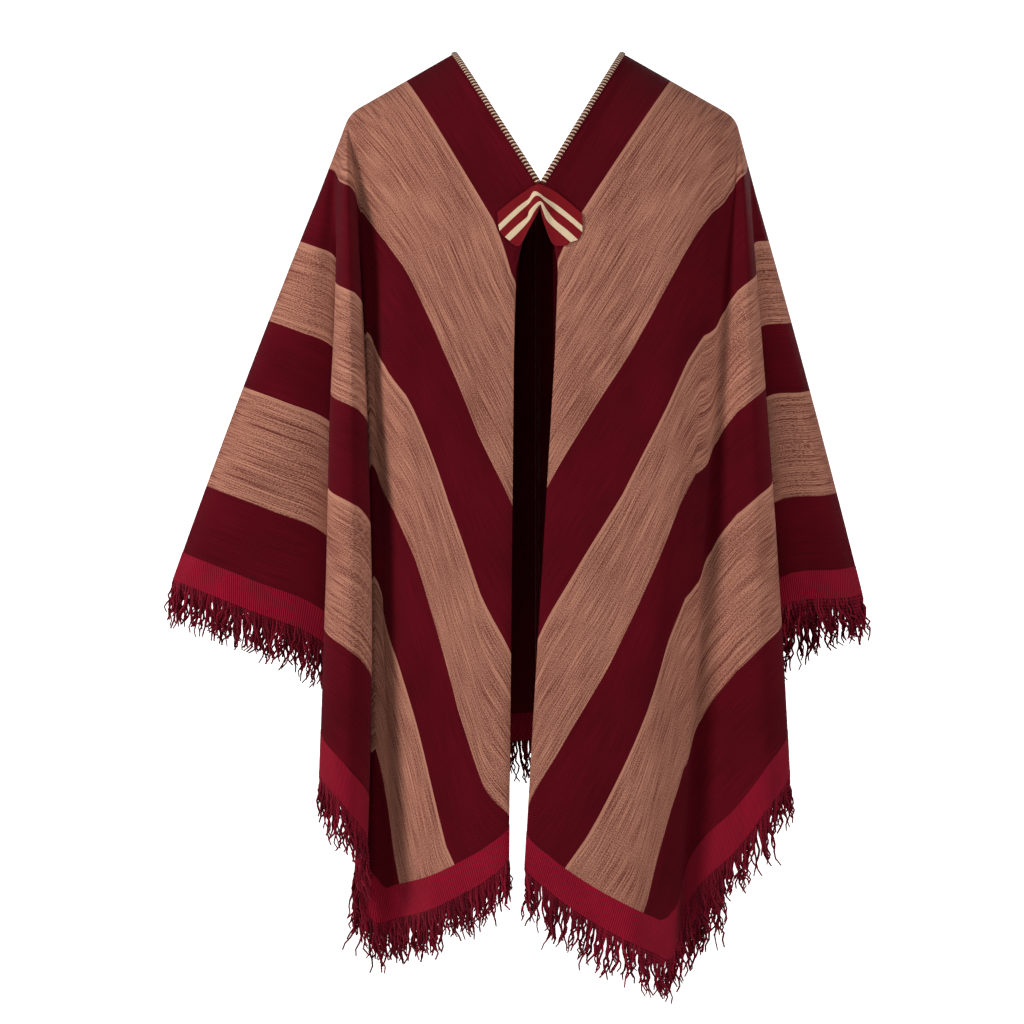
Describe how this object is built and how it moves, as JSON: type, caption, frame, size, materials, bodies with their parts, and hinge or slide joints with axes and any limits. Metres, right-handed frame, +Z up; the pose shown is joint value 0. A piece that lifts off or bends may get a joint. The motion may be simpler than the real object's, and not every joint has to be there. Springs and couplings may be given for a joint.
{
  "type": "wool poncho",
  "caption": "Open-front striped wool poncho in its worn, hollow form, with ribbed borders, twisted fringe and a ribbon tab under the neck.",
  "frame": {"origin": "midway between the two points where the neck edges meet the shoulder line, where a wearer's shoulders or a hanger hold it", "axes": "+Z up, the front faces -Y, +X to the viewer's right as seen from the front"},
  "size_m": [0.7696, 0.2961, 1.0286],
  "materials": {
    "panel": "brushed wool twill in maroon and heathered tan stripes",
    "border": "ribbed wool",
    "fringe": "twisted wool yarn",
    "tab": "flat ribbon"
  },
  "bodies": {
    "root": {"left_panel": "panel", "right_panel": "panel", "left_border": "border", "right_border": "border", "left_fringe": "fringe", "right_fringe": "fringe", "closure_tab": "tab"}
  },
  "joints": []
}
